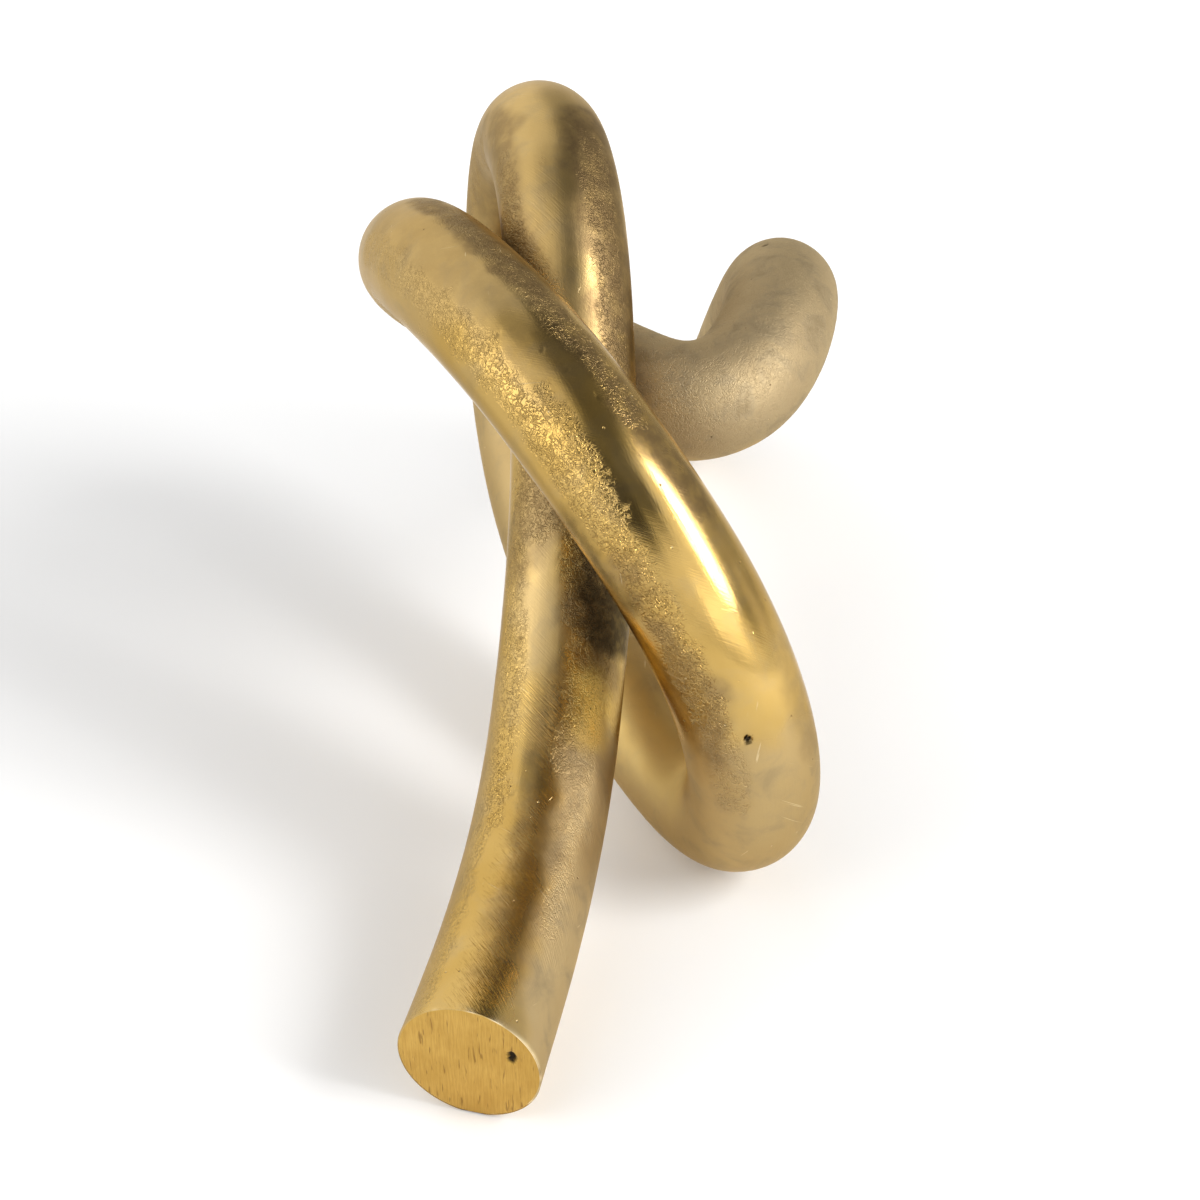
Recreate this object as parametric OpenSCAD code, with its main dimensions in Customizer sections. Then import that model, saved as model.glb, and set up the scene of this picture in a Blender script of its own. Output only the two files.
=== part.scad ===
// Knot sculpture: one round brass bar tied in an open overhand knot.
// The bar is cast in seven sections, dowelled end to end, brazed and dressed flush.
// X runs left to right, +Y runs away from the near end, +Z is up and the table is z = 0.

/* [Bar] */
// Diameter of the bar
bar_d = 31.2; // [28:0.1:31.4]
// Extra radius where each cut end of the bar flares
end_flare = 0.3; // [0:0.1:0.5]
// Length over which a cut end flares
flare_len = 40; // [10:1:60]
// Angle by which the saw cut of the near end is out of square
near_skew = 3; // [0:0.5:6]
// How deep the three places that touch the table are ground flat
ground_depth = 0.5; // [0.4:0.1:1.2]

/* [Joints] */
// Diameter of the dowel that joins two sections
dowel_d = 10; // [6:0.5:12]
// Length of a dowel
dowel_len = 24; // [16:1:28]
// Width of the bevel on each end of a dowel
dowel_bevel = 0.8; // [0.3:0.1:1.2]
// Play between a dowel and its bore, on the radius
dowel_play = 0.05; // [0.02:0.01:0.1]
// Space left for braze between a dowel's end and the bottom of its bore
dowel_end_gap = 0.5; // [0.2:0.1:1]

/* [Mesh] */
// Number of sides of the bar
sides = 28; // [16:4:32]
// Number of rings between two points of the route
rings_per_span = 6; // [4:2:8]

/* [Hidden] */
$fn = 64;

// Points that draw the bar's centre line along from the near end to the far end
NEAR_LEG = [[-28, -150, 15.9], [-19.5, -112, 20], [-13, -76, 31], [-9, -45, 55], [-6.5, -21, 86]];
TOP_LOOP = [[-7.5, 1, 116], [-9.5, 18, 140.5], [-14.5, 49, 150.5], [-20.5, 81, 137], [-24, 93, 107],
    [-23.5, 76, 70]];
LOWER_LOOP = [[-15.5, 36, 46], [1, -8, 26], [17, -38, 16], [31, -62, 14], [37.5, -77, 31], [32, -77, 59]];
FRONT_STRAND = [[19, -73, 87], [0, -60, 112], [-20, -37, 130], [-41, 1, 133.5]];
SIDE_LOOP = [[-48.5, 36, 122], [-48, 51, 111.5], [-31, 56, 98], [-8, 36, 92.5]];
FAR_BEND = [[6.5, 20.5, 92.5], [12.5, 15, 92], [19.5, 12, 91.5], [27, 12, 92], [33.5, 15, 93.5],
    [38.5, 20.5, 95.5], [42.5, 28, 98], [46, 38.5, 100.5], [48.5, 53, 101.5], [50, 71, 98.5], [48, 93, 85]];
FAR_LEG = [[44, 118, 58], [39, 143, 31], [27, 168, 16.6], [11, 187, 15.6]];
// Step from the middle of the bar's footprint to the origin, and down to the ground flats
route_shift = [-0.5, -21, -ground_depth];
ROUTE = [for (p = concat(NEAR_LEG, TOP_LOOP, LOWER_LOOP, FRONT_STRAND, SIDE_LOOP, FAR_BEND, FAR_LEG))
    p + route_shift];

// Where one section ends and the next begins, in points along the route
SEAMS = [4.5, 10, 16.5, 21, 25, 35];
last_point = len(ROUTE) - 1;
bar_r = bar_d / 2;
bore_r = dowel_d / 2 + dowel_play;
bore_depth = dowel_len / 2 + dowel_end_gap;
over = 2;
cut = 400;
// Length over which the rings of the near end turn from the skewed saw cut to square
skew_len = 20;

// Uniform cubic B-spline through the route, with a mirrored point past each end
function route_at(i) =
    i < 0 ? 2 * ROUTE[0] - ROUTE[1] :
    i > last_point ? 2 * ROUTE[last_point] - ROUTE[last_point - 1] :
    ROUTE[i];
function span_of(t) = min(floor(t), last_point - 1);
function blend(i, w) =
    w[0] * route_at(i - 1) + w[1] * route_at(i) + w[2] * route_at(i + 1) + w[3] * route_at(i + 2);
function point_weights(f) = [
    pow(1 - f, 3) / 6,
    (3 * pow(f, 3) - 6 * pow(f, 2) + 4) / 6,
    (-3 * pow(f, 3) + 3 * pow(f, 2) + 3 * f + 1) / 6,
    pow(f, 3) / 6];
function slope_weights(f) = [
    -pow(1 - f, 2) / 2,
    (3 * pow(f, 2) - 4 * f) / 2,
    (-3 * pow(f, 2) + 2 * f + 1) / 2,
    pow(f, 2) / 2];
function unit(v) = v / norm(v);
function centre_at(t) = blend(span_of(t), point_weights(t - span_of(t)));
function heading_at(t) = unit(blend(span_of(t), slope_weights(t - span_of(t))));

// Rings along the whole bar, carried from one to the next without twist
ring_count = last_point * rings_per_span + 1;
CENTRES = [for (k = [0:ring_count - 1]) centre_at(k / rings_per_span)];
HEADINGS = [for (k = [0:ring_count - 1]) heading_at(k / rings_per_span)];
function square_to(v, heading) = unit(v - (v * heading) * heading);
SIDEWAYS = [for (k = 0, v = square_to([1, 0, 0], HEADINGS[0]);
    k < ring_count;
    k = k + 1, v = square_to(v, HEADINGS[min(k, ring_count - 1)])) v];

// Radius at a ring, with the flare at the two cut ends
function end_distance(k) = min(norm(CENTRES[k] - CENTRES[0]), norm(CENTRES[k] - CENTRES[ring_count - 1]));
function ring_radius(k) = bar_r + end_flare * pow(max(0, 1 - end_distance(k) / flare_len), 2);
function lean(k) = tan(near_skew) * max(0, 1 - norm(CENTRES[k] - CENTRES[0]) / skew_len);
function ring(k) =
    let (a = SIDEWAYS[k] - lean(k) * HEADINGS[k], b = cross(HEADINGS[k], SIDEWAYS[k]), r = ring_radius(k))
    [for (s = [0:sides - 1]) CENTRES[k] + r * (cos(360 * s / sides) * a + sin(360 * s / sides) * b)];

// The bar from one ring to another as a closed solid
module bar_between(first, last) {
    rings = last - first;
    skin = [for (k = [first:last]) each ring(k)];
    start_mid = len(skin);
    end_mid = start_mid + 1;
    function at(k, s) = k * sides + s % sides;
    walls = [for (k = [0:rings - 1], s = [0:sides - 1])
        each [[at(k, s), at(k + 1, s), at(k + 1, s + 1)], [at(k, s), at(k + 1, s + 1), at(k, s + 1)]]];
    start_cap = [for (s = [0:sides - 1]) [start_mid, at(0, s), at(0, s + 1)]];
    end_cap = [for (s = [0:sides - 1]) [end_mid, at(rings, s + 1), at(rings, s)]];
    mids = [CENTRES[first], CENTRES[last]];
    polyhedron(concat(skin, mids), concat(walls, start_cap, end_cap), convexity = 8);
}

// Places a dowel or a bore, centred on seam number n and lying along the bar
module on_seam(n) {
    p = centre_at(SEAMS[n]);
    h = heading_at(SEAMS[n]);
    translate(p) rotate([0, acos(h.z), atan2(h.y, h.x)]) children();
}

// A blind bore for half a dowel, from below the seam or from its bottom on
module bore(from) {
    translate([0, 0, from]) cylinder(r = bore_r, h = bore_depth + over);
}

// Section number n: the bar between two seams, with its blind dowel bores and its ground flat
module section(n) {
    from = n == 0 ? 0 : SEAMS[n - 1];
    to = n == len(SEAMS) ? last_point : SEAMS[n];
    difference() {
        bar_between(from * rings_per_span, to * rings_per_span);
        if (n > 0) on_seam(n - 1) bore(-over);
        if (n < len(SEAMS)) on_seam(n) bore(-bore_depth);
        translate([-cut / 2, -cut / 2, -cut]) cube([cut, cut, cut]);
    }
}

module dowel(n) {
    half = dowel_len / 2;
    r = dowel_d / 2;
    on_seam(n) rotate_extrude() polygon([
        [0, -half], [r - dowel_bevel, -half], [r, dowel_bevel - half],
        [r, half - dowel_bevel], [r - dowel_bevel, half], [0, half]]);
}

brass = [0.80, 0.62, 0.30];
dowel_brass = [0.72, 0.55, 0.27];

module near_leg() { color(brass) section(0); }
module top_loop() { color(brass) section(1); }
module lower_loop() { color(brass) section(2); }
module front_strand() { color(brass) section(3); }
module side_loop() { color(brass) section(4); }
module far_bend() { color(brass) section(5); }
module far_leg() { color(brass) section(6); }
module dowel_near_leg_to_top_loop() { color(dowel_brass) dowel(0); }
module dowel_top_loop_to_lower_loop() { color(dowel_brass) dowel(1); }
module dowel_lower_loop_to_front_strand() { color(dowel_brass) dowel(2); }
module dowel_front_strand_to_side_loop() { color(dowel_brass) dowel(3); }
module dowel_side_loop_to_far_bend() { color(dowel_brass) dowel(4); }
module dowel_far_bend_to_far_leg() { color(dowel_brass) dowel(5); }

near_leg();
top_loop();
lower_loop();
front_strand();
side_loop();
far_bend();
far_leg();
dowel_near_leg_to_top_loop();
dowel_top_loop_to_lower_loop();
dowel_lower_loop_to_front_strand();
dowel_front_strand_to_side_loop();
dowel_side_loop_to_far_bend();
dowel_far_bend_to_far_leg();
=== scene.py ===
"""Knot sculpture in cast brass: the looks of the bar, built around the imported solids."""

import math

import bpy
import numpy as np
from mathutils import Euler, Matrix


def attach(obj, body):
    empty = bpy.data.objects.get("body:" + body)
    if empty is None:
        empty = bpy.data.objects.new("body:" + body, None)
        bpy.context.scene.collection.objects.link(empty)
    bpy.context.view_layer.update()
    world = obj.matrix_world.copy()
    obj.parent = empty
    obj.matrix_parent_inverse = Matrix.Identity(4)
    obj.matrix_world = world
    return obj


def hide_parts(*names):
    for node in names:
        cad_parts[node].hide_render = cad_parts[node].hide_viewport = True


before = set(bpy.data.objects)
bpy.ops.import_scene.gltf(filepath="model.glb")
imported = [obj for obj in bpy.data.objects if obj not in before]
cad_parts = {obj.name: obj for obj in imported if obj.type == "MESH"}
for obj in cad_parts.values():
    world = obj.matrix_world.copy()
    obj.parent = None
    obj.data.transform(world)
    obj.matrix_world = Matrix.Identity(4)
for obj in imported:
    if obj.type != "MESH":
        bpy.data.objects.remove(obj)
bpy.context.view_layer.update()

MM = 0.001

# Camera at the photograph's angle
CAMERA_AT = (-0.0011, -0.5052, 0.3244)
CAMERA_DOWN = 30.5
CAMERA_LENS = 63.9

# The bar, as in the part's source
BAR_R = 15.6 * MM
END_FLARE = 0.3 * MM
FLARE_LEN = 40.0 * MM
NEAR_SKEW = 3.0
SKEW_LEN = 20.0 * MM
BORE_R = 5.05 * MM
BORE_DEPTH = 12.5 * MM
NEAR_LEG = [[-28, -150, 15.9], [-19.5, -112, 20], [-13, -76, 31], [-9, -45, 55], [-6.5, -21, 86]]
TOP_LOOP = [[-7.5, 1, 116], [-9.5, 18, 140.5], [-14.5, 49, 150.5], [-20.5, 81, 137], [-24, 93, 107],
            [-23.5, 76, 70]]
LOWER_LOOP = [[-15.5, 36, 46], [1, -8, 26], [17, -38, 16], [31, -62, 14], [37.5, -77, 31], [32, -77, 59]]
FRONT_STRAND = [[19, -73, 87], [0, -60, 112], [-20, -37, 130], [-41, 1, 133.5]]
SIDE_LOOP = [[-48.5, 36, 122], [-48, 51, 111.5], [-31, 56, 98], [-8, 36, 92.5]]
FAR_BEND = [[6.5, 20.5, 92.5], [12.5, 15, 92], [19.5, 12, 91.5], [27, 12, 92], [33.5, 15, 93.5],
            [38.5, 20.5, 95.5], [42.5, 28, 98], [46, 38.5, 100.5], [48.5, 53, 101.5], [50, 71, 98.5],
            [48, 93, 85]]
FAR_LEG = [[44, 118, 58], [39, 143, 31], [27, 168, 16.6], [11, 187, 15.6]]
ROUTE_SHIFT = [-0.5, -21, -0.5]
ROUTE = NEAR_LEG + TOP_LOOP + LOWER_LOOP + FRONT_STRAND + SIDE_LOOP + FAR_BEND + FAR_LEG
ROUTE = (np.array(ROUTE, float) + ROUTE_SHIFT) * MM
SEAMS = [0, 4.5, 10, 16.5, 21, 25, 35, len(ROUTE) - 1]
SECTIONS = ["near_leg", "top_loop", "lower_loop", "front_strand", "side_loop", "far_bend", "far_leg"]

# The mesh of the skin, and the steps in which the bar's length is measured
MEASURE_STEPS = 12000
RING_STEP = 0.6 * MM
SIDES = 168
FACE_RINGS = 34
TURNS = np.arange(SIDES) * 2 * math.pi / SIDES

# The round edge of a sawn end in steps of a quarter turn, and the burr left on it, whose noise is
# read on a circle
EDGE_ROUND = 0.35 * MM
EDGE_STEPS = (0.3, 0.7, 1.0)
BURR = 0.10 * MM
BURR_CIRCLE = 20 * MM

# The width of the abraded rim along that edge, painted lighter as a highlight, and the angle round
# the bar where that painted highlight is brightest
RIM_WEAR_AND_HIGHLIGHT_WIDTH = 0.9 * MM
RIM_HIGHLIGHT_TURN = 335

# The pit in the near face: its place and half sizes on the face, its depth, and where it turns dark
PIT_AT = (9.5 * MM, -4.5 * MM)
PIT_SIZE = (1.0 * MM, 1.9 * MM)
PIT_DEPTH = 0.9 * MM
PIT_DARK = 0.45 * MM

# Rings of a joint face and of the bore behind it, as shares of their width and depth
JOINT_STEPS = (0.66, 0.33, 0.0)
BORE_STEPS = (0.5, 1.0)

# How near another strand makes a crevice, how far along the bar a strand counts as another, the
# step between the rings that are searched, and how much cast skin a crevice keeps. A crevice also
# darkens the tarnished brown, as painted shade between close strands
CREVICE_REACH = 9.0 * MM
OTHER_STRAND = 60 * MM
CREVICE_STEP = 8
CREVICE_SKIN = 0.9

# What the noise is hashed with, and the gain that brings it to about -1 to 1
PRIMES = (73856093, 19349663, 83492791, 15485863)
MIXERS = (1274126177, 2246822519)
WORD = 0xFFFFFFFF
HALF_WORD = 0xFFFF
NOISE_GAIN = 1.3

# Slight hollows left by hand grinding: pairs of a length and a depth
HOLLOWS = [(34 * MM, 0.10 * MM), (11 * MM, 0.035 * MM), (3.4 * MM, 0.006 * MM)]

# Cast skin lies a little deeper, with wrinkles and lumps: sizes and depths
SKIN_DEPTH = 0.05 * MM
WRINKLE = 1.9 * MM
WRINKLE_DEPTH = 0.050 * MM
LUMP = 2.6 * MM
LUMP_DEPTH = 0.035 * MM

# Widths in mm over which the bands fade out at their edges
SKIN_FADE = 3.4
TARNISH_AND_SHADE_FADE = 6
WIDE_FADE = 9
PAINTED_REFLECTION_FADE = 13
# How much more ragged the grimy painted crevice shade is than cast skin, and the share of belt
# marks outside their bands
GRIME_AND_SHADE_RAGGED = 1.4
BELT_REST = 0.25

# Bands along the bar: from and to in mm along it, then the angle round it at each end in degrees,
# the half width in degrees and the strength. First come those where the cast skin was left on.
SKIN_BANDS = [
    (4, 70, 222, 226, 13, 0.6),
    (60, 116, 230, 226, 17, 0.85),
    (108, 150, 224, 222, 13, 0.9),
    (146, 172, 240, 262, 34, 1.0),
    (112, 148, 296, 284, 15, 1.0),
    (30, 84, 312, 304, 10, 0.5),
    (78, 122, 302, 306, 20, 0.85),
    (178, 232, 318, 316, 16, 0.7),
    (184, 232, 222, 220, 17, 1.0),
    (546, 640, 236, 238, 17, 1.0),
    (612, 640, 252, 262, 8, 1.0),
    (625, 716, 237, 236, 17, 0.8),
    (626, 716, 320, 306, 14, 0.8),
    (842, 890, 40, 66, 30, 0.5),
    (838, 904, 0, 0, 180, 0.6),
    (20, 120, 60, 92, 20, 0.8),
    (236, 300, 40, 20, 24, 0.8),
    (262, 330, 182, 190, 15, 0.7),
    (330, 452, 88, 108, 20, 0.9),
    (400, 520, 300, 272, 14, 0.7),
    (470, 536, 16, 40, 22, 0.9),
    (586, 690, 92, 112, 22, 0.9),
    (716, 800, 160, 190, 22, 0.9),
    (770, 838, 20, 6, 18, 0.7),
    (884, 960, 200, 212, 17, 0.7),
    (930, 1052, 96, 74, 24, 0.9),
    (980, 1040, 330, 318, 18, 0.9),
    (940, 1030, 210, 240, 18, 0.8),
]

# Bands left dull and pale
DULL_BANDS = [
    (0, 80, 345, 330, 40, 0.7),
    (0, 100, 205, 205, 14, 0.4),
    (104, 150, 256, 250, 18, 0.45),
    (170, 226, 270, 262, 60, 0.2),
    (226, 330, 270, 180, 150, 0.3),
    (350, 520, 200, 240, 150, 0.5),
    (700, 790, 0, 0, 180, 0.3),
    (836, 862, 0, 0, 180, 0.7),
    (862, 918, 0, 0, 180, 0.92),
    (910, 944, 0, 0, 180, 0.85),
    (936, 970, 0, 0, 180, 0.7),
    (962, 1075, 0, 0, 180, 0.55),
]

# Bands that have tarnished brown. The two on the inner flank of the top loop, from 228 to 304 mm,
# are painted shade, where that flank lies in the loop's own shadow
TARNISH_AND_SHADE_BANDS = [
    (12, 100, 281, 276, 19, 0.55),
    (104, 124, 312, 300, 24, 0.7),
    (136, 170, 232, 262, 28, 0.6),
    (228, 262, 192, 182, 24, 0.6),
    (262, 304, 176, 165, 40, 0.55),
    (176, 250, 228, 222, 22, 0.7),
    (168, 236, 324, 318, 34, 0.9),
    (240, 420, 60, 90, 40, 0.4),
    (556, 600, 226, 228, 20, 0.6),
    (606, 716, 322, 308, 18, 0.85),
    (552, 600, 326, 332, 20, 0.35),
    (640, 720, 268, 280, 30, 0.3),
    (550, 720, 110, 130, 40, 0.35),
]

# Bands of painted shade in the angle where two strands cross, near black, standing for the shadow
# between the strands together with some old dirt
GRIME_AND_SHADE_BANDS = [
    (121, 166, 330, 300, 46, 0.97),
    (112, 124, 322, 312, 30, 0.35),
    (596, 616, 205, 205, 12, 0.7),
    (190, 210, 205, 212, 9, 0.5),
    (172, 236, 332, 326, 28, 0.25),
]

# Bands with a painted reflection, light yellow where a neighbouring strand would be mirrored, and
# bands with the marks of a coarse belt
PAINTED_REFLECTION_BANDS = [
    (88, 99, 314, 309, 9, 1.0),
    (462, 516, 139, 139, 34, 0.25),
]
BELT_BANDS = [
    (20, 150, 270, 285, 75, 1.0),
    (180, 260, 250, 262, 26, 0.5),
    (250, 540, 40, 60, 60, 0.6),
    (716, 850, 120, 120, 90, 0.5),
]

# Dents and casting pits: along the bar in mm, angle round it, radius and depth in mm. A dent
# deeper than DENT_DARK is dark all through.
DENT_DARK = 0.5 * MM
DENTS = [
    (558.7, 261.2, 1.05, 0.8),
    (640.6, 289, 0.7, 0.14),
    (633.0, 296, 0.6, 0.16),
    (646.5, 283, 0.5, 0.12),
    (655.0, 262, 0.7, 0.22),
    (112.0, 236, 0.9, 0.15),
    (66.0, 252, 0.8, 0.15),
    (420.0, 200, 1.0, 0.4),
    (760.0, 250, 0.9, 0.35),
    (905.0, 20, 1.0, 0.4),
    (300.0, 80, 1.1, 0.5),
    (1010.0, 200, 0.9, 0.3),
]

# Colours
GOLD = (0.560, 0.372, 0.118, 1)
DEEP_GOLD = (0.500, 0.318, 0.085, 1)
PALE_BRASS = (0.440, 0.348, 0.212, 1)
DUSKY_BRASS = (0.350, 0.268, 0.150, 1)
PIT_BROWN = (0.150, 0.085, 0.030, 1)
PIT_BLACK = (0.030, 0.022, 0.014, 1)
# Brown of tarnished brass, also used as painted shade
TARNISH_AND_SHADE = (0.200, 0.130, 0.060, 1)
# Near black: painted shade in the crossings, with some old dirt
GRIME_AND_SHADE = (0.052, 0.036, 0.018, 1)
# Yellow for a painted reflection
PAINTED_REFLECTION_GOLD = (1.000, 0.710, 0.190, 1)
# Fresh brass for nicks, and for the painted highlight on the sawn rims
FRESH_BRASS_AND_HIGHLIGHT = (0.860, 0.700, 0.420, 1)
EDGE_TINT = (0.880, 0.790, 0.630, 1)
SAWN_LIGHT = (0.610, 0.385, 0.095, 1)
SAWN_DEEP = (0.540, 0.330, 0.074, 1)
SAWN_LINE = (0.400, 0.225, 0.050, 1)
SAWN_MARK = (0.250, 0.130, 0.030, 1)
TURNED_DEEP = (0.620, 0.420, 0.150, 1)
TURNED_LIGHT = (0.720, 0.500, 0.190, 1)
FLOOR_WHITE = (0.900, 0.900, 0.900, 1)
WHITE = (1, 1, 1, 1)

# Kinds of surface marks and of painted shade, reflection and highlight, kept as one value for each
# point of the skin, and what some add to the roughness
WEAR_AND_PAINTED_LIGHT = ["skin", "dull", "tarnish_and_shade", "grime_and_shade", "painted_reflection", "belt", "worn_rim_and_highlight", "pit"]
ROUGHER = {"skin": 0.05, "dull": 0.48, "tarnish_and_shade": 0.12, "painted_reflection": 0.30, "grime_and_shade": 0.22}

# Depths of the marks in the finish
BELT_RELIEF = 0.105 * MM
BRUSH_RELIEF = 0.035 * MM
HAIR_RELIEF = 0.02 * MM
SCRATCH_RELIEF = 0.06 * MM
SKIN_RELIEF = 0.145 * MM
SPOT_RELIEF = 0.2 * MM
SAWN_RELIEF = 0.08 * MM
SAWN_MARK_RELIEF = 0.06 * MM
TURNED_RELIEF = 0.04 * MM

# The floor, and how much it is lifted for the camera, metal and glass, and far off for the camera
FLOOR_SIZE = 40.0
FLOOR_BELOW = 0.4 * MM
FLOOR_LIFT = 0.09
FAR_FROM = 0.15
FAR_TO = 0.9
FAR_LIFT = 0.5

# The studio round the object: each darker place has an azimuth (0 is away from the camera's
# side, 90 is its right), an elevation, a radius and a soft edge in degrees, and its brightness
DARK_PLACES = [
    (26, 51, 14, 7, 0.11),
    (45, 62, 16, 8, 0.13),
    (105, 78, 20, 7, 0.14),
    (-80, 72, 12, 12, 0.45),
    (155, 68, 13, 8, 0.13),
    (-163, 30, 15, 8, 0.07),
    (-150, 14, 7, 6, 0.20),
    (172, 48, 14, 10, 0.14),
    (14, 28, 13, 14, 0.42),
    (45, 18, 22, 12, 0.50),
    (94, 22, 13, 8, 0.36),
    (80, 44, 15, 10, 0.52),
]
STUDIO_LEVEL = 1.27
BACKDROP_LEVEL = 1.0

# Soft boxes: name, azimuth, elevation, half width, half height, radiance and roll. All are as far
# from the sculpture, and face a point in its middle.
LAMP_DISTANCE = 1.5
LAMP_TARGET = (0, 0, 0.08)
SOFT_BOXES = [
    ("left_box", -113, 13, 20, 19, 1.75, 0),
    ("key_box", 115, 33, 8.0, 16, 15.5, -22),
    ("low_box", 141, 11, 18, 8, 1.05, 0),
]


def spline(t):
    """Centres and headings of the bar at the route parameters t."""
    before = 2 * ROUTE[0] - ROUTE[1]
    after = 2 * ROUTE[-1] - ROUTE[-2]
    points = np.vstack([before, ROUTE, after])
    span = np.minimum(np.floor(t).astype(int), len(ROUTE) - 2)
    f = (t - span)[:, None]
    place = [(1 - f) ** 3, 3 * f**3 - 6 * f**2 + 4, -3 * f**3 + 3 * f**2 + 3 * f + 1, f**3]
    slope = [-((1 - f) ** 2), 3 * f**2 - 4 * f, -3 * f**2 + 2 * f + 1, f**2]
    centre = sum(w * points[span + j] for j, w in enumerate(place)) / 6
    heading = sum(w * points[span + j] for j, w in enumerate(slope)) / 2
    return centre, heading / np.linalg.norm(heading, axis=1)[:, None]


def rings_of_bar():
    """Arc lengths, centres, headings and sideways directions of all rings, and each section's first ring."""
    fine = np.linspace(0, len(ROUTE) - 1, MEASURE_STEPS + 1)
    places = spline(fine)[0]
    steps = np.linalg.norm(np.diff(places, axis=0), axis=1)
    arc_at = np.concatenate([[0], np.cumsum(steps)])
    stops = np.interp(SEAMS, fine, arc_at)
    arcs = [np.array([0.0])]
    firsts = [0]
    for a, b in zip(stops[:-1], stops[1:]):
        count = int(round((b - a) / RING_STEP))
        arcs.append(np.linspace(a, b, count + 1)[1:])
        firsts.append(firsts[-1] + count)
    arc = np.concatenate(arcs)
    centre, heading = spline(np.interp(arc, arc_at, fine))
    side = np.zeros_like(centre)
    v = np.array([1.0, 0, 0])
    for k in range(len(arc)):
        v = v - (v @ heading[k]) * heading[k]
        v = v / np.linalg.norm(v)
        side[k] = v
    return arc, centre, heading, side, firsts


def hashed(i, j, k, seed):
    """Three repeatable numbers from -1 to 1 for each lattice point."""
    n = (i * PRIMES[0]) ^ (j * PRIMES[1]) ^ (k * PRIMES[2]) ^ (seed * PRIMES[3])
    out = []
    for turn in (1, 2, 3):
        m = (n ^ (n >> 13)) * (MIXERS[0] + 2 * turn) & WORD
        m = (m ^ (m >> 15)) * MIXERS[1] & WORD
        m = m ^ (m >> 13)
        out.append((m & HALF_WORD) / (HALF_WORD / 2) - 1)
    return out


def noise(points, size, seed):
    """Smooth noise of about -1 to 1 at points, with lumps of the given size."""
    p = points / size
    cell = np.floor(p).astype(np.int64)
    f = p - cell
    u = f * f * f * (f * (f * 6 - 15) + 10)
    total = np.zeros(len(p))
    for dx in (0, 1):
        for dy in (0, 1):
            for dz in (0, 1):
                g = hashed(cell[:, 0] + dx, cell[:, 1] + dy, cell[:, 2] + dz, seed)
                lean = g[0] * (f[:, 0] - dx) + g[1] * (f[:, 1] - dy) + g[2] * (f[:, 2] - dz)
                wx = u[:, 0] if dx else 1 - u[:, 0]
                wy = u[:, 1] if dy else 1 - u[:, 1]
                wz = u[:, 2] if dz else 1 - u[:, 2]
                total += wx * wy * wz * lean
    return total * NOISE_GAIN


def smooth(x):
    """Eases x from 0 to 1 between 0 and 1."""
    x = np.clip(x, 0, 1)
    return x * x * (3 - 2 * x)


def band_mask(bands, arc, angle, ragged, edge):
    """How far each point is inside the bands, 0 to 1, with a ragged edge of the given width in mm."""
    mask = np.zeros(len(arc))
    for start, end, turn_a, turn_b, half, strength in bands:
        share = np.clip((arc / MM - start) / (end - start), 0, 1)
        middle = turn_a + (turn_b - turn_a) * share
        across = np.abs((angle - middle + 180) % 360 - 180) * math.pi / 180 * BAR_R / MM
        past = np.maximum(np.maximum(start - arc / MM, arc / MM - end), 0)
        inside = half * math.pi / 180 * BAR_R / MM - np.hypot(across, past) + ragged
        mask = np.maximum(mask, strength * smooth(inside / edge + 0.5))
    return mask


def crevice_mask(arc, centre, points):
    """How close each point comes to another strand of the bar, 0 to 1."""
    others, at = centre[::CREVICE_STEP], arc[::CREVICE_STEP]
    mask = np.zeros((len(arc), SIDES))
    for row in range(len(arc)):
        away = others[np.abs(at - arc[row]) > OTHER_STRAND]
        gap = np.linalg.norm(points[row][:, None, :] - away[None, :, :], axis=2).min(axis=1) - BAR_R
        mask[row] = smooth(1 - gap / CREVICE_REACH)
    return mask.ravel()


def dents_of_skin(arc, angle):
    """Depth of the dents and casting pits at each point."""
    depth = np.zeros(len(arc))
    for at, turn, radius, deep in DENTS:
        along = arc / MM - at
        around = ((angle - turn + 180) % 360 - 180) * math.pi / 180 * BAR_R / MM
        near = np.clip(1 - (along**2 + around**2) / radius**2, 0, 1)
        depth = np.maximum(depth, deep * MM * smooth(near * 1.6))
    return depth


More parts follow.
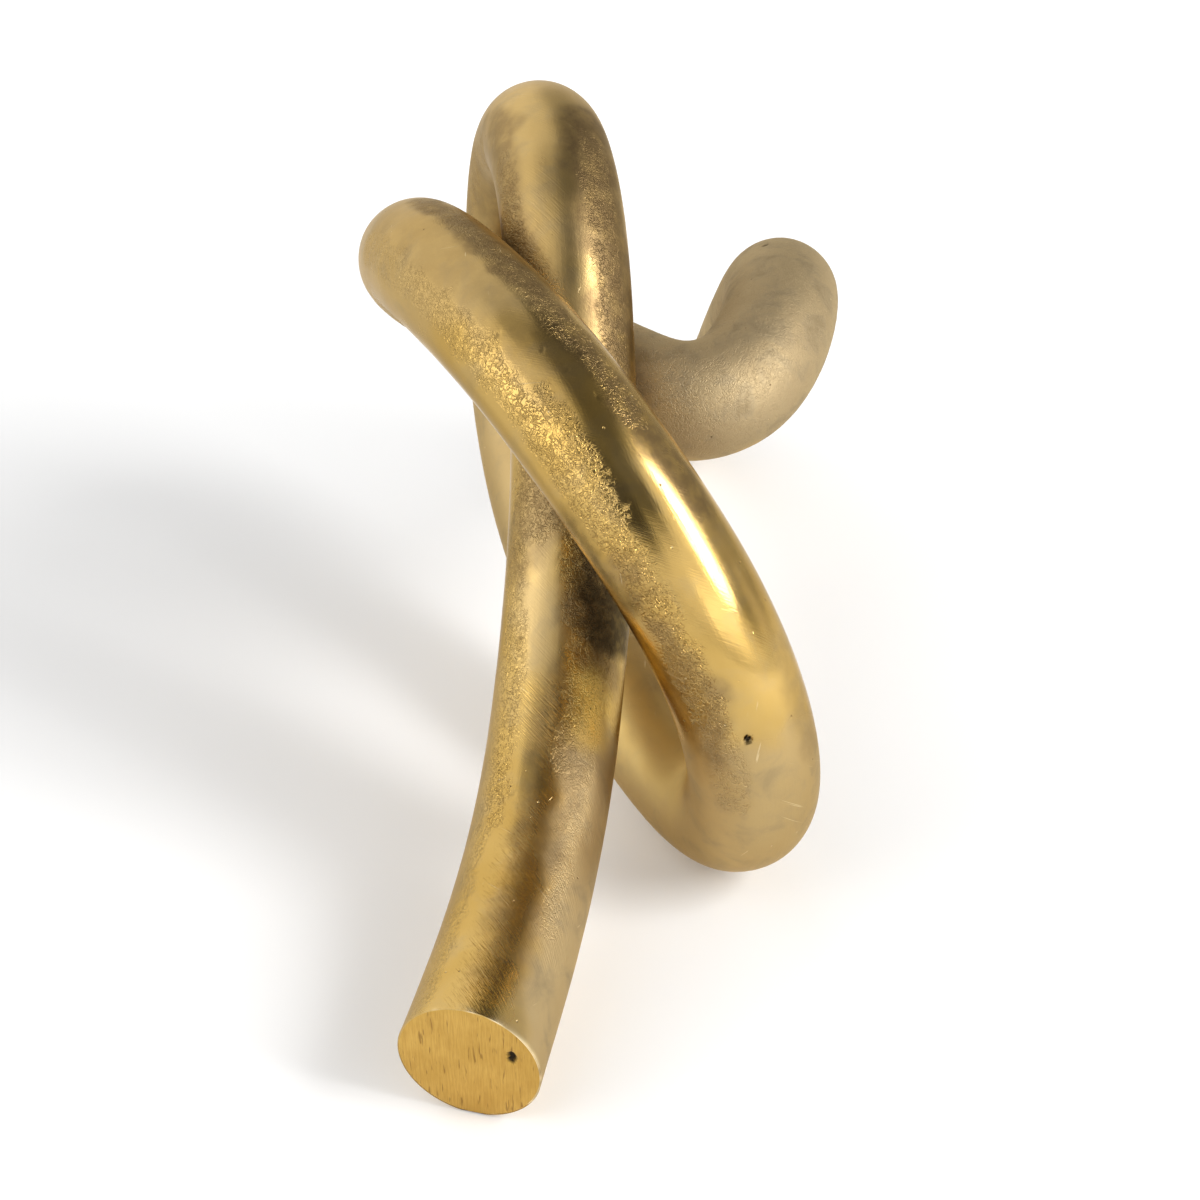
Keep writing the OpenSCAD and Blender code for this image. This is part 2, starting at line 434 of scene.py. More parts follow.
def wear_and_painted_light_of_skin(arc, angle, base, crevice):
    """The bands, the crevices with their painted shade, and the abraded saw edges with their painted
    highlight at each point of the skin, from 0 to 1.
    """
    ragged = noise(base, 7 * MM, 11) * 2.2 + noise(base, 2.2 * MM, 12) * 1.3
    cloudy = noise(base, 16 * MM, 13) * 5 + noise(base, 5 * MM, 14) * 2.5
    skin = band_mask(SKIN_BANDS, arc, angle, ragged, SKIN_FADE)
    tarnish_and_shade = band_mask(TARNISH_AND_SHADE_BANDS, arc, angle, cloudy, TARNISH_AND_SHADE_FADE)
    belt = band_mask(BELT_BANDS, arc, angle, cloudy, WIDE_FADE)
    # The sawn rims are abraded and painted lighter as a highlight, most on one side round the bar
    from_cut = np.minimum(arc, arc[-1] - arc)
    facing = 0.5 + 0.5 * np.cos(np.radians(angle - RIM_HIGHLIGHT_TURN))
    rim_lit_side = smooth(facing - 0.4 + 1.1 * noise(base, 2.6 * MM, 15))
    return {
        "skin": np.maximum(skin, CREVICE_SKIN * crevice),
        "dull": band_mask(DULL_BANDS, arc, angle, cloudy, WIDE_FADE),
        # Close strands add painted shade to the tarnished brown
        "tarnish_and_shade": np.maximum(tarnish_and_shade, crevice),
        # Painted shade in the crossings, with some old dirt
        "grime_and_shade": band_mask(GRIME_AND_SHADE_BANDS, arc, angle, ragged * GRIME_AND_SHADE_RAGGED, WIDE_FADE),
        # Painted reflection bands
        "painted_reflection": band_mask(PAINTED_REFLECTION_BANDS, arc, angle, ragged, PAINTED_REFLECTION_FADE),
        "belt": BELT_REST + (1 - BELT_REST) * belt,
        # Painted highlight along the abraded sawn rims
        "worn_rim_and_highlight": smooth(1 - from_cut / RIM_WEAR_AND_HIGHLIGHT_WIDTH) * rim_lit_side}


def hollows_of_skin(base, skin):
    """How far hand grinding and the wrinkled cast skin go into the bar at each point."""
    hollow = np.zeros(len(base))
    for seed, (size, depth) in enumerate(HOLLOWS, 1):
        hollow += depth * (1 + noise(base, size, seed))
    wrinkle = np.clip(1 - np.abs(noise(base, WRINKLE, 4)) * 2.6, -1, 1)
    lumps = noise(base, LUMP, 5)
    return hollow + skin * (SKIN_DEPTH + WRINKLE_DEPTH * wrinkle + LUMP_DEPTH * lumps)


def skin_of_bar():
    """The bar's whole skin as a grid of points, with its wear and its straight coordinates."""
    arc, centre, heading, side, firsts = rings_of_bar()
    rows = len(arc)
    up = np.cross(heading, side)
    out = side[:, None, :] * np.cos(TURNS)[None, :, None] + up[:, None, :] * np.sin(TURNS)[None, :, None]
    base = centre[:, None, :] + out * BAR_R
    crevice = crevice_mask(arc, centre, base)
    base = base.reshape(-1, 3)
    whole_arc = np.repeat(arc, SIDES)
    whole_angle = np.tile(np.degrees(TURNS), rows)
    fields = wear_and_painted_light_of_skin(whole_arc, whole_angle, base, crevice)
    dents = dents_of_skin(whole_arc, whole_angle)
    fields["pit"] = smooth(dents / DENT_DARK)
    hollow = np.maximum(hollows_of_skin(base, fields["skin"]) + dents, 0).reshape(rows, SIDES)

    from_near = np.linalg.norm(centre - centre[0], axis=1)
    reach = np.minimum(from_near, np.linalg.norm(centre - centre[-1], axis=1))
    flare = END_FLARE * np.clip(1 - reach / FLARE_LEN, 0, 1) ** 2
    lean = math.tan(math.radians(NEAR_SKEW)) * np.clip(1 - from_near / SKEW_LEN, 0, 1)
    radius = BAR_R + flare[:, None] - hollow
    points = centre[:, None, :] + out * radius[:, :, None]
    points -= heading[:, None, :] * (lean[:, None] * radius * np.cos(TURNS)[None, :])[:, :, None]
    straight = np.stack([
        np.cos(TURNS)[None, :] * radius,
        np.sin(TURNS)[None, :] * radius,
        np.repeat(arc[:, None], SIDES, axis=1)], axis=2)
    return {
        "arc": arc, "centre": centre, "heading": heading, "side": side, "up": up, "out": out,
        "radius": radius, "points": points, "straight": straight, "lean": lean,
        "firsts": firsts, "fields": fields}


def cut_end(bar, row, outward):
    """Rings of a sawn end from the skin inwards: a small round, then the flat face."""
    rings = []
    radius = bar["radius"][row]
    centre = bar["centre"][row]
    out = bar["out"][row]
    away = bar["heading"][row] * outward
    burr = np.clip(noise(out * BURR_CIRCLE, 9 * MM, 21), 0, 1) * BURR
    for share in EDGE_STEPS:
        lean = share * math.pi / 2
        inset = EDGE_ROUND * (1 - math.cos(lean))
        rise = -EDGE_ROUND * (1 - math.sin(lean))
        rings.append((centre + out * (radius - inset - burr * share)[:, None] + away * rise, radius - inset))
    edge = radius - EDGE_ROUND - burr
    for k in range(1, FACE_RINGS):
        share = 1 - k / FACE_RINGS
        rings.append((centre + out * (edge * share)[:, None], edge * share))
    side, heading, lean = bar["side"][row], bar["heading"][row], bar["lean"][row]
    return [(p - heading * (lean * ((p - centre) @ side))[:, None], ring) for p, ring in rings]


def socket(bar, row, outward):
    """Rings that close a seam: the flat joint face, then the blind bore for the dowel."""
    centre = bar["centre"][row]
    out = bar["out"][row]
    radius = bar["radius"][row]
    away = bar["heading"][row] * outward
    rings = []
    for share in JOINT_STEPS:
        ring = BORE_R + (radius - BORE_R) * share
        rings.append((centre + out * ring[:, None], ring))
    for deep in BORE_STEPS:
        ring = np.full(SIDES, BORE_R)
        rings.append((centre + out * BORE_R - away * BORE_DEPTH * deep, ring))
    rings.append((centre + out * BORE_R * 0.5 - away * BORE_DEPTH, ring * 0.5))
    return rings


def grid_normals(points):
    """Smooth normals of the whole skin, so that a seam between two sections doesn't show."""
    around = np.roll(points, -1, axis=1) - np.roll(points, 1, axis=1)
    along = np.gradient(points, axis=0)
    normal = np.cross(around, along)
    return normal / np.maximum(np.linalg.norm(normal, axis=2), 1e-12)[:, :, None]


def end_rings(bar, row, outward, sawn):
    """Rings that close a section at a row of the skin, with their straight coordinates."""
    rings = cut_end(bar, row, outward) if sawn else socket(bar, row, outward)
    made = []
    for place, ring in rings:
        line = np.stack([np.cos(TURNS) * ring, np.sin(TURNS) * ring], axis=1)
        made.append((place, np.column_stack([line, np.full(SIDES, bar["arc"][row])])))
    return made


def sink_pit(bar, points, pit):
    """Sinks the lens-shaped pit into the near face, and marks it."""
    from_middle = points - bar["centre"][0]
    x = (from_middle @ bar["side"][0] - PIT_AT[0]) / PIT_SIZE[0]
    y = (from_middle @ bar["up"][0] - PIT_AT[1]) / PIT_SIZE[1]
    sunk = PIT_DEPTH * smooth((1 - x**2 - y**2) * 1.8)
    points += bar["heading"][0] * sunk[:, None]
    pit[:] = smooth(sunk / PIT_DARK)


# What the faces between two rings are
SKIN, SAWN, EDGE, JOINT = range(4)


def kinds_of_faces(n, start_rings, skin_rings, end_rings):
    """What each face of a section is: those between two rings, then the fans in the two ends."""
    edge = [EDGE] * len(EDGE_STEPS)
    start = [SAWN] * (start_rings - len(edge)) + edge if n == 0 else [JOINT] * start_rings
    end = edge + [SAWN] * (end_rings - len(edge)) if n == len(SECTIONS) - 1 else [JOINT] * end_rings
    kinds = start + [SKIN] * (skin_rings - 1) + end
    return np.concatenate([np.repeat(kinds, SIDES), np.full(SIDES, kinds[0]), np.full(SIDES, kinds[-1])])


def closed_faces(rows, middle):
    """Faces between neighbouring rings, and a fan round the middle point of each end."""
    ring = np.arange(SIDES)
    after = (ring + 1) % SIDES
    starts = np.arange(rows - 1)[:, None] * SIDES
    a = starts + ring[None, :]
    b = starts + after[None, :]
    quads = np.stack([a, b, b + SIDES, a + SIDES], axis=2).reshape(-1, 4)
    near_fan = np.stack([np.full(SIDES, middle), after, ring], axis=1)
    last = (rows - 1) * SIDES
    far_fan = np.stack([np.full(SIDES, middle + 1), last + ring, last + after], axis=1)
    return quads.tolist() + near_fan.tolist() + far_fan.tolist()


def new_section(bar, normals, n, materials):
    """One cast section as a closed mesh: its skin, and a sawn end or a joint face at either side."""
    first, last = bar["firsts"][n], bar["firsts"][n + 1]
    rows = slice(first, last + 1)
    start = end_rings(bar, first, -1, n == 0)[::-1]
    end = end_rings(bar, last, 1, n == len(SECTIONS) - 1)
    skin_points, skin_straight = bar["points"][rows], bar["straight"][rows]
    points = np.concatenate([p for p, s in start] + list(skin_points) + [p for p, s in end])
    straight = np.concatenate([s for p, s in start] + list(skin_straight) + [s for p, s in end])
    fields = {}
    for name, values in bar["fields"].items():
        grid = values.reshape(-1, SIDES)
        grown = [grid[first]] * len(start) + [grid[rows].ravel()] + [grid[last]] * len(end)
        fields[name] = np.concatenate(grown)
    if n == 0:
        face = len(start) * SIDES
        sink_pit(bar, points[:face], fields["pit"][:face])
    points[:, 2] = np.maximum(points[:, 2], 0)

    middle = len(points)
    points = np.vstack([points, points[:SIDES].mean(axis=0), points[-SIDES:].mean(axis=0)])
    straight = np.vstack([straight, [0, 0, bar["arc"][first]], [0, 0, bar["arc"][last]]])
    faces = closed_faces(middle // SIDES, middle)
    kinds = kinds_of_faces(n, len(start), len(skin_points), len(end))
    mesh = bpy.data.meshes.new(SECTIONS[n] + "_skin")
    mesh.from_pydata(points.tolist(), [], faces)
    mesh.update()
    for material in materials:
        mesh.materials.append(material)
    slots = np.where((kinds == SAWN) | (kinds == JOINT), 1, 0)
    mesh.polygons.foreach_set("material_index", slots.astype(np.int32))
    mesh.polygons.foreach_set("use_smooth", np.ones(len(faces), dtype=bool))
    store(mesh, "straight", "FLOAT_VECTOR", straight)
    for name, values in fields.items():
        store(mesh, name, "FLOAT", np.concatenate([values, [0, 0]]))
    whole = np.zeros((len(points), 3))
    block = slice(len(start) * SIDES, (len(start) + len(skin_points)) * SIDES)
    whole[block] = normals[rows].reshape(-1, 3)
    set_normals(mesh, kinds, whole, points)

    piece = bpy.data.objects.new("cast_" + SECTIONS[n], mesh)
    bpy.context.scene.collection.objects.link(piece)
    return piece


def store(mesh, name, kind, values):
    """Keeps one value or vector for each vertex."""
    layer = mesh.attributes.new(name=name, type=kind, domain="POINT")
    field = "vector" if kind == "FLOAT_VECTOR" else "value"
    layer.data.foreach_set(field, np.asarray(values, dtype=np.float32).ravel())


def set_normals(mesh, kinds, whole, points):
    """Skin corners take the whole bar's smooth normals, sawn ends their own, and the rest stays flat."""
    corner_vertex = np.zeros(len(mesh.loops), dtype=np.int32)
    mesh.loops.foreach_get("vertex_index", corner_vertex)
    sizes = np.zeros(len(mesh.polygons), dtype=np.int32)
    mesh.polygons.foreach_get("loop_total", sizes)
    flat = np.zeros(len(mesh.polygons) * 3)
    mesh.polygons.foreach_get("normal", flat)
    flat = np.repeat(flat.reshape(-1, 3), sizes, axis=0)
    own = np.zeros(len(mesh.vertices) * 3)
    mesh.vertices.foreach_get("normal", own)
    own = own.reshape(-1, 3)[corner_vertex]
    kind = np.repeat(kinds, sizes)[:, None]
    on_table = points[corner_vertex, 2] < 1e-7
    result = np.where(kind == SKIN, whole[corner_vertex], flat)
    result = np.where((kind == EDGE) | (kind == SAWN), own, result)
    result = np.where(on_table[:, None], flat, result)
    missing = np.linalg.norm(result, axis=1) < 0.5
    result[missing] = flat[missing]
    mesh.normals_split_custom_set(result.tolist())


def new_material(name):
    """An empty node material with a Principled shader at its output."""
    material = bpy.data.materials.new(name)
    material.use_nodes = True
    tree = material.node_tree
    tree.nodes.clear()
    output = tree.nodes.new("ShaderNodeOutputMaterial")
    shader = tree.nodes.new("ShaderNodeBsdfPrincipled")
    tree.links.new(shader.outputs["BSDF"], output.inputs["Surface"])
    return material, tree, shader


def put(tree, value, target):
    """Links a socket, or sets a plain value."""
    if isinstance(value, bpy.types.NodeSocket):
        tree.links.new(value, target)
    else:
        target.default_value = value


def attribute(tree, name, output="Fac"):
    node = tree.nodes.new("ShaderNodeAttribute")
    node.attribute_name = name
    return node.outputs[output]


def math_of(tree, operation, a, b=0.0, c=0.0, clamp=False):
    node = tree.nodes.new("ShaderNodeMath")
    node.operation = operation
    node.use_clamp = clamp
    put(tree, a, node.inputs[0])
    put(tree, b, node.inputs[1])
    put(tree, c, node.inputs[2])
    return node.outputs[0]


def ramp(tree, value, low, high, to_low=0.0, to_high=1.0):
    """Eases value from low..high to to_low..to_high."""
    node = tree.nodes.new("ShaderNodeMapRange")
    node.interpolation_type = "SMOOTHSTEP"
    put(tree, value, node.inputs["Value"])
    node.inputs["From Min"].default_value = low
    node.inputs["From Max"].default_value = high
    node.inputs["To Min"].default_value = to_low
    node.inputs["To Max"].default_value = to_high
    return node.outputs["Result"]


def stretch(tree, vector, scale):
    node = tree.nodes.new("ShaderNodeVectorMath")
    node.operation = "MULTIPLY"
    put(tree, vector, node.inputs[0])
    node.inputs[1].default_value = scale
    return node.outputs[0]


def twist(tree, vector, per_metre):
    """Turns the straight coordinates round the bar as they go along it, for slanting marks."""
    parts = tree.nodes.new("ShaderNodeSeparateXYZ")
    put(tree, vector, parts.inputs[0])
    turn = tree.nodes.new("ShaderNodeVectorRotate")
    turn.rotation_type = "Z_AXIS"
    put(tree, vector, turn.inputs["Vector"])
    put(tree, math_of(tree, "MULTIPLY", parts.outputs[2], per_metre), turn.inputs["Angle"])
    return turn.outputs[0]


def noise_of(tree, vector, size, detail=2.0, roughness=0.5, distortion=0.0):
    """Noise with lumps of the given size in metres."""
    node = tree.nodes.new("ShaderNodeTexNoise")
    put(tree, vector, node.inputs["Vector"])
    node.inputs["Scale"].default_value = 1 / size
    node.inputs["Detail"].default_value = detail
    node.inputs["Roughness"].default_value = roughness
    node.inputs["Distortion"].default_value = distortion
    return node.outputs["Fac"]


def mix_colour(tree, share, a, b):
    node = tree.nodes.new("ShaderNodeMix")
    node.data_type = "RGBA"
    put(tree, share, node.inputs[0])
    put(tree, a, node.inputs[6])
    put(tree, b, node.inputs[7])
    return node.outputs[2]


def bump_of(tree, height, distance, strength, normal=None):
    node = tree.nodes.new("ShaderNodeBump")
    node.inputs["Strength"].default_value = strength
    node.inputs["Distance"].default_value = distance
    put(tree, height, node.inputs["Height"])
    if normal is not None:
        put(tree, normal, node.inputs["Normal"])
    return node.outputs["Normal"]


def wrinkles_of(tree, position):
    """Winding creases of cast skin: a height from -1 to 0, and how deep in a dark crease a point is."""
    winding = noise_of(tree, position, 1.0 * MM, 1.5, 0.5, 0.8)
    off_line = math_of(tree, "ABSOLUTE", math_of(tree, "SUBTRACT", winding, 0.5))
    broken = ramp(tree, noise_of(tree, position, 2.4 * MM, 1.0), 0.32, 0.50, 0.35, 1.0)
    height = product(tree, ramp(tree, off_line, 0.0, 0.11, -1.0, 0.0), broken)
    dark = product(tree, ramp(tree, off_line, 0.006, 0.04, 1.0, 0.0), broken)
    return height, dark


def lines_of(tree, straight, per_metre, width, share):
    """Grinding lines that wind round the bar by an angle per metre."""
    turned = twist(tree, straight, per_metre) if per_metre else straight
    return noise_of(tree, stretch(tree, turned, (1, 1, share)), width, 2.0, 0.65)


def product(tree, *values):
    result = values[0]
    for value in values[1:]:
        result = math_of(tree, "MULTIPLY", result, value)
    return result


def without(tree, value, share=1.0):
    """What is left of 1 when a share of value is taken away."""
    return math_of(tree, "MULTIPLY_ADD", value, -share, 1.0, clamp=True)


def cast_skin(tree, position, wear_and_painted_light):
    """Cast skin: the height of its short creases, grains and lumps, the dirt in it, and its lumps."""
    crease, crease_dark = wrinkles_of(tree, position)
    grain = noise_of(tree, position, 0.5 * MM, 2.0, 0.6)
    broad = noise_of(tree, position, 2.2 * MM, 2.0, 0.5)
    height = math_of(tree, "MULTIPLY_ADD", grain, 0.4, crease)
    height = math_of(tree, "MULTIPLY_ADD", broad, 0.5, height)
    height = product(tree, height, wear_and_painted_light["skin"], without(tree, wear_and_painted_light["dull"], 0.5))
    dirt = product(tree, crease_dark, 0.50, wear_and_painted_light["skin"], without(tree, wear_and_painted_light["dull"], 0.7))
    return height, dirt, broad


def belt_marks(tree, position, straight, belt):
    """Short slanting lines from a coarse belt, and how strong they are."""
    slant = lines_of(tree, straight, 60.0, 0.38 * MM, 0.09)
    patch = ramp(tree, noise_of(tree, position, 30 * MM, 1.0), 0.38, 0.5, 0.4, 1.0)
    return slant, product(tree, belt, patch)


def scratches(tree, straight):
    """A few deeper scratches, long ones and short ones, that slant opposite ways."""
    long_lines = lines_of(tree, straight, 95.0, 1.3 * MM, 0.09)
    short_lines = lines_of(tree, straight, -38.0, 1.0 * MM, 0.14)
    return math_of(tree, "MAXIMUM", ramp(tree, long_lines, 0.73, 0.79), ramp(tree, short_lines, 0.74, 0.79))


def small_spots(tree, position):
    """Small dents here and there: where they are, and which of them are dark holes and which fresh."""
    cells = tree.nodes.new("ShaderNodeTexVoronoi")
    put(tree, position, cells.inputs["Vector"])
    cells.inputs["Scale"].default_value = 1 / (3.0 * MM)
    chance = tree.nodes.new("ShaderNodeSeparateColor")
    put(tree, cells.outputs["Color"], chance.inputs[0])
    chosen = ramp(tree, chance.outputs[0], 0.78, 0.84)
    spot = product(tree, ramp(tree, cells.outputs["Distance"], 0.04, 0.11, 1.0, 0.0), chosen)
    fresh = ramp(tree, chance.outputs[1], 0.45, 0.5)
    return spot, product(tree, spot, without(tree, fresh)), product(tree, spot, fresh)


def brass_colour(tree, position, wear_and_painted_light, nick, dirt):
    """Gold that varies, pale where it is dull, then tarnished brown that also paints shade, a painted
    reflection, grimy black that also paints crevice shade, nicks, dirt, the abraded rims' painted highlight,
    and pits.
    """
    tone = noise_of(tree, position, 26 * MM, 3.0, 0.55)
    colour = mix_colour(tree, ramp(tree, tone, 0.35, 0.68), GOLD, DEEP_GOLD)
    smoky = ramp(tree, noise_of(tree, position, 9 * MM, 4.0, 0.6, 0.5), 0.45, 0.75)
    pale = math_of(tree, "MULTIPLY_ADD", wear_and_painted_light["dull"], 0.95, product(tree, smoky, 0.3), clamp=True)
    colour = mix_colour(tree, pale, colour, mix_colour(tree, smoky, PALE_BRASS, DUSKY_BRASS))
    blotch = ramp(tree, noise_of(tree, position, 5 * MM, 4.0, 0.65), 0.3, 0.62, 0.55, 1.0)
    # Tarnished brown, which also paints shade on the top loop's inner flank and in crevices
    colour = mix_colour(tree, product(tree, wear_and_painted_light["tarnish_and_shade"], blotch), colour, TARNISH_AND_SHADE)
    # Painted reflection: yellow patches for light mirrored from a neighbouring strand
    colour = mix_colour(tree, wear_and_painted_light["painted_reflection"], colour, PAINTED_REFLECTION_GOLD)
    # Painted shade, near black, in the angles where strands cross, with some old dirt
    colour = mix_colour(tree, wear_and_painted_light["grime_and_shade"], colour, GRIME_AND_SHADE)
    colour = mix_colour(tree, product(tree, nick, 0.45), colour, FRESH_BRASS_AND_HIGHLIGHT)
    colour = mix_colour(tree, dirt, colour, PIT_BROWN)
    # Painted highlight along the abraded sawn rims
    colour = mix_colour(tree, wear_and_painted_light["worn_rim_and_highlight"], colour, FRESH_BRASS_AND_HIGHLIGHT)
    return mix_colour(tree, wear_and_painted_light["pit"], colour, PIT_BLACK)


def brass_roughness(tree, position, wear_and_painted_light, slant, dirt):
    """Smooth brass that varies, rougher with belt marks, and by what each kind of surface mark and painted
    light adds.
    """
    rough = ramp(tree, noise_of(tree, position, 14 * MM, 3.0, 0.6), 0.3, 0.7, 0.12, 0.20)
    marks = product(tree, math_of(tree, "SUBTRACT", slant, 0.4), wear_and_painted_light["belt"], 0.15)
    rough = math_of(tree, "ADD", marks, rough)
    for name, more in ROUGHER.items():
        rough = math_of(tree, "MULTIPLY_ADD", wear_and_painted_light[name], more, rough)
    return math_of(tree, "MULTIPLY_ADD", dirt, 0.2, rough, clamp=True)


def cast_brass():
    """Ground and brushed brass with bands of wrinkled cast skin, tarnished brown, pits and nicks, and with
    painted shade in the crevices, painted reflections and a painted highlight on the sawn rims.
    """
    material, tree, shader = new_material("cast_brass")
    position = tree.nodes.new("ShaderNodeTexCoord").outputs["Object"]
    straight = attribute(tree, "straight", "Vector")
    # Surface marks together with painted shade, reflection and highlight, read from the mesh
    wear_and_painted_light = {name: attribute(tree, name) for name in WEAR_AND_PAINTED_LIGHT}
    skin_height, dirt, broad = cast_skin(tree, position, wear_and_painted_light)
    slant, wear_and_painted_light["belt"] = belt_marks(tree, position, straight, wear_and_painted_light["belt"])
    scratch = scratches(tree, straight)
    spot, hole, fresh = small_spots(tree, position)
    nick = math_of(tree, "MAXIMUM", fresh, scratch)
    dirt = math_of(tree, "MAXIMUM", dirt, product(tree, hole, 0.8), clamp=True)
    # The painted crevice shade is thinned on the lumps of the cast skin
    shade_thinned_on_lumps = without(tree, ramp(tree, broad, 0.42, 0.66), 0.14)
    wear_and_painted_light["grime_and_shade"] = product(tree, wear_and_painted_light["grime_and_shade"], shade_thinned_on_lumps)

    put(tree, brass_colour(tree, position, wear_and_painted_light, nick, dirt), shader.inputs["Base Color"])
    put(tree, brass_roughness(tree, position, wear_and_painted_light, slant, dirt), shader.inputs["Roughness"])
    shader.inputs["Specular Tint"].default_value = EDGE_TINT
    shader.inputs["Metallic"].default_value = 1.0

    # Relief: belt marks, brushed lines along the bar, hairlines, scratches, cast skin and spots
    along = lines_of(tree, straight, 0, 0.8 * MM, 0.04)
    hair = lines_of(tree, straight, -20.0, 0.32 * MM, 0.03)
    normal = bump_of(tree, product(tree, slant, wear_and_painted_light["belt"]), BELT_RELIEF, 1.0)
    normal = bump_of(tree, along, BRUSH_RELIEF, 0.6, normal)
    normal = bump_of(tree, hair, HAIR_RELIEF, 0.6, normal)
    normal = bump_of(tree, scratch, SCRATCH_RELIEF, 0.7, normal)
    normal = bump_of(tree, skin_height, SKIN_RELIEF, 1.0, normal)
    normal = bump_of(tree, spot, -SPOT_RELIEF, 0.9, normal)
    put(tree, normal, shader.inputs["Normal"])
    return material


def sawn_brass():
    """The flat sanded ends, with straight sanding lines."""
    material, tree, shader = new_material("sawn_brass")
    straight = attribute(tree, "straight", "Vector")
    lines = noise_of(tree, stretch(tree, straight, (1, 0.05, 1)), 0.36 * MM, 3.0, 0.7)
    deep = noise_of(tree, stretch(tree, straight, (1, 0.12, 1)), 0.9 * MM, 2.0, 0.6)
    cloud = noise_of(tree, straight, 9 * MM, 3.0, 0.55)
    colour = mix_colour(tree, ramp(tree, cloud, 0.3, 0.7), SAWN_LIGHT, SAWN_DEEP)
    colour = mix_colour(tree, ramp(tree, lines, 0.38, 0.66, 0.0, 0.35), colour, SAWN_LINE)
    marks = ramp(tree, deep, 0.60, 0.68)
    colour = mix_colour(tree, product(tree, marks, 0.7), colour, SAWN_MARK)
    colour = mix_colour(tree, attribute(tree, "pit"), colour, PIT_BLACK)
    put(tree, colour, shader.inputs["Base Color"])
    shader.inputs["Metallic"].default_value = 1.0
    put(tree, ramp(tree, lines, 0.3, 0.7, 0.42, 0.56), shader.inputs["Roughness"])
    normal = bump_of(tree, lines, SAWN_RELIEF, 0.9)
    normal = bump_of(tree, marks, -SAWN_MARK_RELIEF, 0.7, normal)
    put(tree, normal, shader.inputs["Normal"])
    return material


def turned_brass():
    """The dowels: turned brass with a fine grain."""
    material, tree, shader = new_material("turned_brass")
    position = tree.nodes.new("ShaderNodeTexCoord").outputs["Object"]
    cloud = noise_of(tree, position, 5 * MM, 3.0, 0.6)
    put(tree, mix_colour(tree, cloud, TURNED_DEEP, TURNED_LIGHT), shader.inputs["Base Color"])
    shader.inputs["Metallic"].default_value = 1.0
    fine = noise_of(tree, position, 0.4 * MM, 2.0, 0.6)
    put(tree, ramp(tree, fine, 0.3, 0.7, 0.28, 0.42), shader.inputs["Roughness"])
    put(tree, bump_of(tree, fine, TURNED_RELIEF, 0.4), shader.inputs["Normal"])
    return material


def pale_floor():
    """A plain pale floor that keeps the sculpture's shadow, lifted for the camera, metal and glass."""
    material, tree, shader = new_material("pale_floor")
    shader.inputs["Base Color"].default_value = FLOOR_WHITE
    shader.inputs["Roughness"].default_value = 0.9
    shader.inputs["Specular IOR Level"].default_value = 0.0
    path = tree.nodes.new("ShaderNodeLightPath").outputs
    seen = math_of(tree, "MAXIMUM", path["Is Camera Ray"], path["Is Glossy Ray"])
    seen = math_of(tree, "MAXIMUM", seen, path["Is Transmission Ray"])
    shader.inputs["Emission Color"].default_value = WHITE
    place = tree.nodes.new("ShaderNodeVectorMath")
    place.operation = "LENGTH"
    put(tree, tree.nodes.new("ShaderNodeTexCoord").outputs["Object"], place.inputs[0])
    far = ramp(tree, place.outputs["Value"], FAR_FROM, FAR_TO, 0.0, FAR_LIFT)
    far = product(tree, far, path["Is Camera Ray"])
    lift = math_of(tree, "MULTIPLY_ADD", seen, FLOOR_LIFT, far)
    put(tree, lift, shader.inputs["Emission Strength"])
    return material


def make_floor():
    mesh = bpy.data.meshes.new("floor")
    far = FLOOR_SIZE
    corners = [(-far, -far, 0), (far, -far, 0), (far, far, 0), (-far, far, 0)]
    mesh.from_pydata(corners, [], [(0, 1, 2, 3)])
    mesh.materials.append(pale_floor())
    floor = bpy.data.objects.new("floor", mesh)
    floor.location.z = -FLOOR_BELOW
    bpy.context.scene.collection.objects.link(floor)


def make_world():
    world = bpy.data.worlds.new("studio")
    bpy.context.scene.world = world
    world.use_nodes = True
    tree = world.node_tree
    tree.nodes.clear()
    output = tree.nodes.new("ShaderNodeOutputWorld")
    background = tree.nodes.new("ShaderNodeBackground")
    tree.links.new(background.outputs[0], output.inputs["Surface"])
    background.inputs["Color"].default_value = WHITE
    direction = tree.nodes.new("ShaderNodeTexCoord").outputs["Generated"]
    level = 1.0
    for azimuth, elevation, radius, soft, dark in DARK_PLACES:
        dot = tree.nodes.new("ShaderNodeVectorMath")
        dot.operation = "DOT_PRODUCT"
        put(tree, direction, dot.inputs[0])
        dot.inputs[1].default_value = direction_of(azimuth, elevation).tolist()
        edge = math.cos(math.radians(radius + soft))
        core = math.cos(math.radians(radius))
        level = math_of(tree, "MINIMUM", level, ramp(tree, dot.outputs["Value"], edge, core, 1.0, dark))
    level = math_of(tree, "MULTIPLY", level, STUDIO_LEVEL)
    seen = tree.nodes.new("ShaderNodeLightPath").outputs["Is Camera Ray"]
    backdrop = product(tree, seen, BACKDROP_LEVEL)
    level = math_of(tree, "ADD", product(tree, level, without(tree, seen)), backdrop)
    put(tree, level, background.inputs["Strength"])


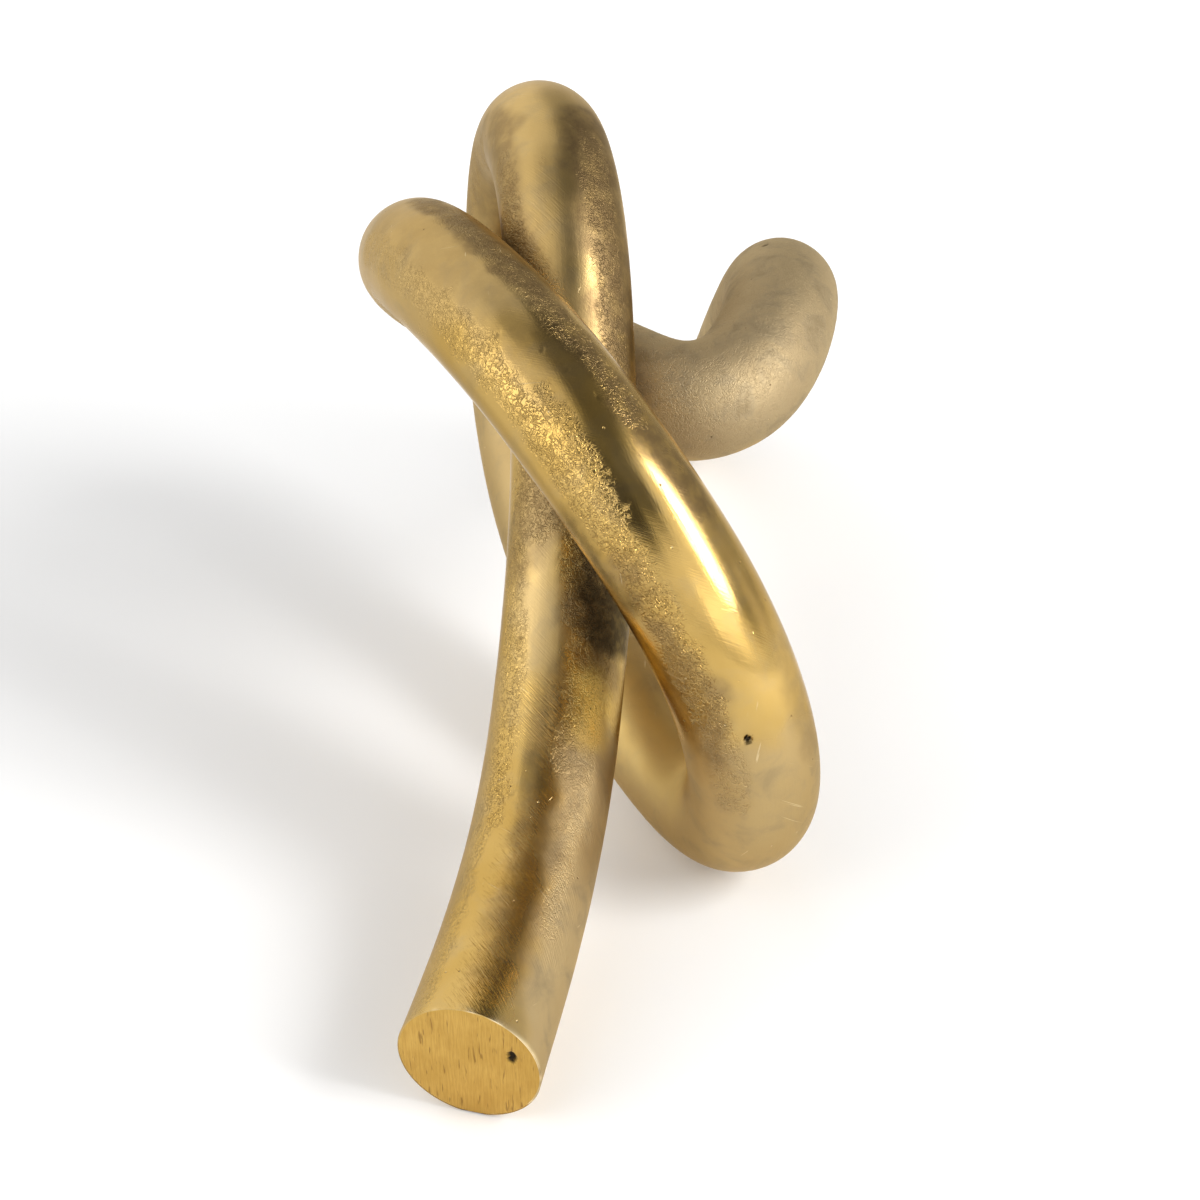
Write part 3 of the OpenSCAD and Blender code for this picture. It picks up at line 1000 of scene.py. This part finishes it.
def direction_of(azimuth, elevation):
    """A unit vector from the sculpture towards a place in the studio."""
    a, e = math.radians(azimuth), math.radians(elevation)
    return np.array([math.sin(a) * math.cos(e), math.cos(a) * math.cos(e), math.sin(e)])


def soft_box(name, azimuth, elevation, half_width, half_height, radiance, roll):
    """A lamp that faces the sculpture, with its half sizes and roll in degrees and its radiance."""
    width = 2 * LAMP_DISTANCE * math.tan(math.radians(half_width))
    height = 2 * LAMP_DISTANCE * math.tan(math.radians(half_height))
    data = bpy.data.lights.new(name, "AREA")
    data.shape = "RECTANGLE"
    data.size, data.size_y = width, height
    data.energy = radiance * math.pi * width * height
    lamp = bpy.data.objects.new(name, data)
    bpy.context.scene.collection.objects.link(lamp)
    lamp.location = (direction_of(azimuth, elevation) * LAMP_DISTANCE + LAMP_TARGET).tolist()
    facing = Euler((math.radians(90 - elevation), 0, math.radians(180 - azimuth))).to_matrix()
    lamp.rotation_euler = (facing @ Matrix.Rotation(math.radians(roll), 3, "Z")).to_euler()


def make_camera():
    data = bpy.data.cameras.new("camera")
    data.lens = CAMERA_LENS
    data.sensor_width = 36
    data.clip_start = 0.01
    camera = bpy.data.objects.new("camera", data)
    camera.location = CAMERA_AT
    camera.rotation_euler = (math.radians(90 - CAMERA_DOWN), 0, 0)
    bpy.context.scene.collection.objects.link(camera)
    bpy.context.scene.camera = camera


def dress_sections():
    """Puts a dressed piece over each cast section."""
    materials = [cast_brass(), sawn_brass()]
    bar = skin_of_bar()
    normals = grid_normals(bar["points"])
    for n, name in enumerate(SECTIONS):
        piece = new_section(bar, normals, n, materials)
        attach(piece, "root")
        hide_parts(name)


def dress_dowels():
    """Gives the dowels, which stay as the part's own solids, their finish."""
    turned = turned_brass()
    for name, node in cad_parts.items():
        if name.startswith("dowel_"):
            for slot in node.material_slots:
                slot.link = "OBJECT"
                slot.material = turned


make_camera()
make_world()
make_floor()
for box in SOFT_BOXES:
    soft_box(*box)
dress_sections()
dress_dowels()

bpy.context.scene.view_settings.view_transform = "Standard"
